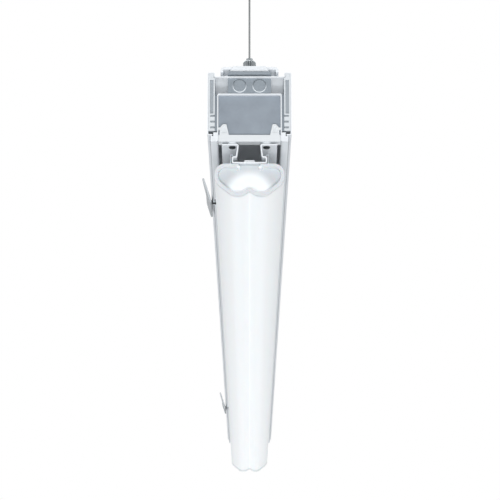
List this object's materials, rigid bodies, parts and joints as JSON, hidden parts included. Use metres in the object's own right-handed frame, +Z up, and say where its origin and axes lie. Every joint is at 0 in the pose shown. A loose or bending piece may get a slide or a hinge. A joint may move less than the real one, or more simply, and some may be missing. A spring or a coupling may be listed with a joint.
{
  "type": "led linear light",
  "caption": "Suspended linear LED light: a white steel trunk with conductor profiles and a latched LED batten under a lobed opal lens, hung on wires from ceiling fixings.",
  "frame": {"origin": "on the ceiling plane, midway between the two ceiling fixings", "axes": "+X across the light, to the right in the picture; +Y along it, away from the picture's near end; +Z up"},
  "size_m": [0.0729, 1.5, 0.1845],
  "materials": {
    "white_lacquer": "white semi-gloss stoving lacquer",
    "grey_profile_plastic": "light grey extruded plastic",
    "copper": "bare copper",
    "white_moulding": "white moulded plastic",
    "opal_acrylic": "opal diffusing acrylic",
    "board_mask": "white solder mask",
    "led_phosphor": "yellow phosphor resin",
    "driver_case": "off-white moulded casing",
    "lead_jacket": "flexible cable jacket",
    "contact_brass": "stamped brass",
    "plated_screw": "zinc-plated steel",
    "lever_plastic": "pale grey moulded plastic",
    "galvanised_steel": "galvanised sheet steel",
    "die_casting": "light grey painted die casting",
    "nickel_plate": "satin nickel-plated brass",
    "steel_rope": "stranded steel wire"
  },
  "bodies": {
    "light": {"board_leads": "lead_jacket", "board_plug": "white_moulding", "bridge_far": "white_moulding", "bridge_mid_far": "white_moulding", "bridge_mid_near": "white_moulding", "bridge_near": "white_moulding", "carrier_screws": "plated_screw", "ceiling_base_far": "nickel_plate", "ceiling_base_near": "nickel_plate", "ceiling_cap_far": "nickel_plate", "ceiling_cap_near": "nickel_plate", "clamp_box_far": "die_casting", "clamp_box_near": "die_casting", "clamp_screws_far": "plated_screw", "clamp_screws_near": "plated_screw", "conductor_profile_left": "grey_profile_plastic", "conductor_profile_right": "grey_profile_plastic", "conductors_left": "copper", "conductors_right": "copper", "driver": "driver_case", "driver_screws": "plated_screw", "ferrule_far": "nickel_plate", "ferrule_near": "nickel_plate", "fixed_hooks": "galvanised_steel", "gear_tray": "white_lacquer", "gripper_far": "nickel_plate", "gripper_near": "nickel_plate", "hanger_plate_far": "white_lacquer", "hanger_plate_near": "white_lacquer", "led_boards": "board_mask", "led_carrier": "white_lacquer", "leds": "led_phosphor", "lens": "opal_acrylic", "lens_end_far": "opal_acrylic", "lens_end_near": "opal_acrylic", "lever_bracket_far": "galvanised_steel", "lever_bracket_near": "galvanised_steel", "lever_pin_far": "plated_screw", "lever_pin_near": "plated_screw", "saddle_far": "die_casting", "saddle_near": "die_casting", "supply_leads": "lead_jacket", "tap_contacts": "contact_brass", "tap_off": "white_moulding", "tray_end_far": "galvanised_steel", "tray_end_near": "galvanised_steel", "trunk": "white_lacquer", "wire_far": "steel_rope", "wire_near": "steel_rope"},
    "near_lever": {"lever_near": "lever_plastic"},
    "far_lever": {"lever_far": "lever_plastic"},
    "near_collar": {"release_collar_near": "nickel_plate"},
    "far_collar": {"release_collar_far": "nickel_plate"}
  },
  "joints": [
    {"name": "near_lever_press", "type": "hinge", "parent": "light", "child": "near_lever", "pos_m": [-0.0293, -0.571, -0.139], "axis": [0, 1, 0], "range_deg": [0, 17], "stiffness_Nm_per_rad": 0.05, "springref_deg": -11.46},
    {"name": "far_lever_press", "type": "hinge", "parent": "light", "child": "far_lever", "pos_m": [-0.0293, 0.449, -0.139], "axis": [0, 1, 0], "range_deg": [0, 17], "stiffness_Nm_per_rad": 0.05, "springref_deg": -11.46},
    {"name": "near_collar_press", "type": "slide", "parent": "light", "child": "near_collar", "axis": [0, 0, -1], "range_m": [0, 0.0018], "stiffness_N_per_m": 300, "springref_m": -0.002},
    {"name": "far_collar_press", "type": "slide", "parent": "light", "child": "far_collar", "axis": [0, 0, -1], "range_m": [0, 0.0018], "stiffness_N_per_m": 300, "springref_m": -0.002}
  ]
}
